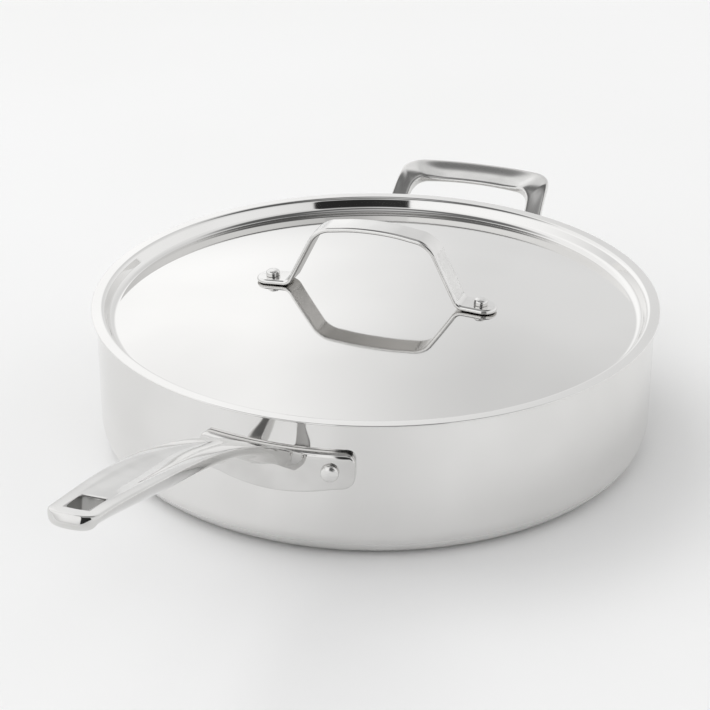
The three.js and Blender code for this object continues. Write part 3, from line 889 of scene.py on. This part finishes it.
def strap_finish(place):
    """Bright outside; the inner faces that the mesh marks are rougher and darkened with painted shade.
    """
    inner = place.node("ShaderNodeAttribute", output="Fac", attribute_name="duller_inside_with_painted_shade")
    lines = place.times(STRAP_LINES).noise(1)
    colour, roughness, relief = polished(
        place, lines, STRAP_TINTS, STRAP_CLOUD, STRAP_ROUGHNESS, STRAP_SWELL, STRAP_LINE_DEPTH,
    )
    return inner.mixed(colour, STRAP_INSIDE_PAINTED_SHADE), roughness + inner * STRAP_INNER_ROUGHNESS, relief


tab_reach = LID_RIVET_REACH + TAB_END
foot_reach = LID_RIVET_REACH - STRAP_FOOT_INSET
half_strap = [
    (tab_reach, tab_height(tab_reach), 0),
    (foot_reach, tab_height(foot_reach), STRAP_FOOT_BEND),
    (STRAP_SHOULDER_REACH, dome_top + STRAP_SHOULDER_RISE, STRAP_SHOULDER_BEND),
]
strap_corners = half_strap + [(0, dome_top + STRAP_CROWN_RISE, STRAP_CROWN_BEND)]
strap_corners += [(-reach, height, bend) for reach, height, bend in reversed(half_strap)]

bm = bmesh.new()
strap_line = [((reach, -STRAP_WIDTH / 2, height), bend) for reach, height, bend in strap_corners]
drawn_line(bm, strap_line, STRAP_BEND_STEPS)
ribbon = bmesh.ops.extrude_edge_only(bm, edges=bm.edges[:])["geom"]
ribbon_verts = [item for item in ribbon if isinstance(item, bmesh.types.BMVert)]
bmesh.ops.translate(bm, verts=ribbon_verts, vec=(0, STRAP_WIDTH, 0))
for vert in [vert for vert in bm.verts if abs(vert.co.x) > tab_reach - TAB_END_NEAR]:
    bend_vert(bm, vert, TAB_ROUND, STRAP_BEND_STEPS)
bmesh.ops.remove_doubles(bm, verts=bm.verts, dist=STRAP_WELD)
bmesh.ops.recalc_face_normals(bm, faces=bm.faces)
if sum(face.normal.z for face in bm.faces) > 0:
    bmesh.ops.reverse_faces(bm, faces=bm.faces)
bmesh.ops.solidify(bm, geom=bm.faces[:], thickness=STRAP_SHEET)
bmesh.ops.recalc_face_normals(bm, faces=bm.faces)
strap_edges = [edge for edge in bm.edges if edge.calc_face_angle(0) > EDGE_FROM]
outer_edges = [
    edge for edge in strap_edges if any(face.normal.z > OUTER_FACE_RISE for face in edge.link_faces)
]
inner_edges = [edge for edge in strap_edges if edge not in outer_edges]
round_edges(bm, outer_edges, STRAP_OUTER_EDGE, STRAP_OUTER_EDGE_STEPS)
inner_edges = [edge for edge in inner_edges if edge.is_valid]
round_edges(bm, inner_edges, STRAP_INNER_EDGE, STRAP_INNER_EDGE_STEPS)
bm.normal_update()
# Marks the faces turned down and in: rougher there, and darkened with painted shade.
duller_inside_with_painted_shade = bm.verts.layers.float.new("duller_inside_with_painted_shade")
for vert in bm.verts:
    facing_in = vert.normal.z < INNER_FACE_RISE and abs(vert.normal.y) < INNER_FACE_LEAN
    vert[duller_inside_with_painted_shade] = float(facing_in)
strap_steel = steel("polished_strap_steel", strap_finish)
placed(bm, "bent_lid_handle", strap_steel, "lid", "lid_handle")

# Lid handle rivets
# Two smaller steel rivets, one through each tab and the dome under it.
# Each has a domed head on its tab and a low flat head under the lid.
LID_RIVET = {
    "shank": 2.3 * MM,
    "head": 3.85 * MM,
    "crown": 3.4 * MM,
    "brow": 0.8,
    "tail": 4.2 * MM,
    "tail_depth": 1.4 * MM,
}
LID_HEAD_GAP = 0.09 * MM

tab_grip = LID_SHEET + STRAP_SHEET + 2 * SEAT_GAP + LID_HEAD_GAP

for side, sign in SIDES.items():
    outward = Vector((sign * math.sin(tab_tilt), 0, math.cos(tab_tilt)))
    on_dome = Vector((sign * LID_RIVET_REACH, 0, rivet_dome_height))
    seat = on_dome + outward * (SEAT_GAP + STRAP_SHEET + LID_HEAD_GAP)
    rivet = riveted(seat, outward, **LID_RIVET, grip=tab_grip)
    placed(rivet, f"tab_rivet_{side}", rivet_steel, "lid", f"lid_handle_rivet_{side}")

# Floor and studio light
# A plain pale floor in a white studio that is brighter on the left and dark overhead. A dark card
# behind the camera, which fades upwards, gives the polished steel something to show, and two broad
# lamps cast a soft shadow to the right.
FLOOR_SIZE = 12
FLOOR_DROP = 0.05 * MM
FLOOR_TINTS = (0.86, 0.86, 0.855, 1), (0.88, 0.88, 0.88, 1)
FLOOR_CLOUD = 2
FLOOR_ROUGHNESS = 0.5
BACKDROP = 0.9, 0.9, 0.9, 1
LAMPS = ("key", 0.72, 41, (-0.9, 0.6, 1.5)), ("overhead", 0.58, 63, (-0.1, -0.8, 2.3))
WALL_LIGHT = 0.85
LEFT_EDGE = 0.13, -0.13
LEFT_RISE = 0.0, 0.3
LEFT_LIGHT = 0.33
RIGHT_EDGE = 0.2, 0.8
RIGHT_LIGHT = 0.15
WALL_FADE = 0.43, 0.6
WALL_FADE_SHADE = 0.09
CEILING_EDGE = 0.76, 0.89
CEILING_SHADE = 0.84
ZENITH_EDGE = 0.95, 1.0
ZENITH_LIGHT = 0.5
CARD_LEFT = math.radians(-12.7)
CARD_RIGHT = math.radians(26.5)
CARD_SOFT = math.radians(1.5)
CARD_LEAN = 0.11
CARD_FOOT = 0.06, 0.08
CARD_TOP = 0.86, 0.46
CARD_SHADE = 0.97

bm = bmesh.new()
bmesh.ops.create_grid(bm, x_segments=1, y_segments=1, size=FLOOR_SIZE / 2)
bmesh.ops.translate(bm, verts=bm.verts, vec=(0, 0, -FLOOR_DROP))
floor_mesh = bpy.data.meshes.new("floor")
bm.to_mesh(floor_mesh)
bm.free()
floor = bpy.data.objects.new("floor", floor_mesh)
bpy.context.collection.objects.link(floor)
floor_paint = bpy.data.materials.new("pale_floor")
floor_paint.use_nodes = True
floor_shader = floor_paint.node_tree.nodes["Principled BSDF"]
floor_place = Shade(floor_paint.node_tree).node("ShaderNodeTexCoord", output="Object")
floor_colour = floor_place.noise(FLOOR_CLOUD).eased(*GLOSS_SPREAD).mixed(*FLOOR_TINTS)
floor_paint.node_tree.links.new(floor_colour.socket, floor_shader.inputs["Base Color"])
floor_shader.inputs["Roughness"].default_value = FLOOR_ROUGHNESS
floor_mesh.materials.append(floor_paint)

world = bpy.data.worlds.new("studio")
bpy.context.scene.world = world
world.use_nodes = True
direction = Shade(world.node_tree).node("ShaderNodeTexCoord", output="Generated")
to_right = direction.dot(across)
to_back = direction.dot(away)
height = direction.parts()[2]
bearing = direction.maths("ARCTAN2", to_right, to_back * -1)
lean = bearing + height * CARD_LEAN
card = (
    lean.eased(CARD_LEFT - CARD_SOFT, CARD_LEFT) * bearing.eased(CARD_RIGHT + CARD_SOFT, CARD_RIGHT)
    * height.eased(*CARD_FOOT) * height.eased(*CARD_TOP)
)
ceiling = height.eased(*CEILING_EDGE) * CEILING_SHADE - height.eased(*ZENITH_EDGE) * ZENITH_LIGHT
walls = (
    WALL_LIGHT + to_right.eased(*LEFT_EDGE) * height.eased(*LEFT_RISE) * LEFT_LIGHT
    + to_right.eased(*RIGHT_EDGE) * RIGHT_LIGHT - height.eased(*WALL_FADE) * WALL_FADE_SHADE
)
brightness = walls * (1 - ceiling) * (1 - card * CARD_SHADE)
camera_ray = direction.node("ShaderNodeLightPath", output="Is Camera Ray")
background = camera_ray.mixed(brightness, BACKDROP)
world.node_tree.links.new(background.socket, world.node_tree.nodes["Background"].inputs["Color"])

for name, strength, breadth, place in LAMPS:
    lamp = bpy.data.objects.new(name, bpy.data.lights.new(name, "SUN"))
    lamp.data.energy = strength
    lamp.data.angle = math.radians(breadth)
    lamp.location = across * place[0] + away * place[1] + Vector((0, 0, place[2]))
    lamp.rotation_euler = lamp.location.to_track_quat("Z", "Y").to_euler()
    lamp.visible_glossy = False
    bpy.context.collection.objects.link(lamp)
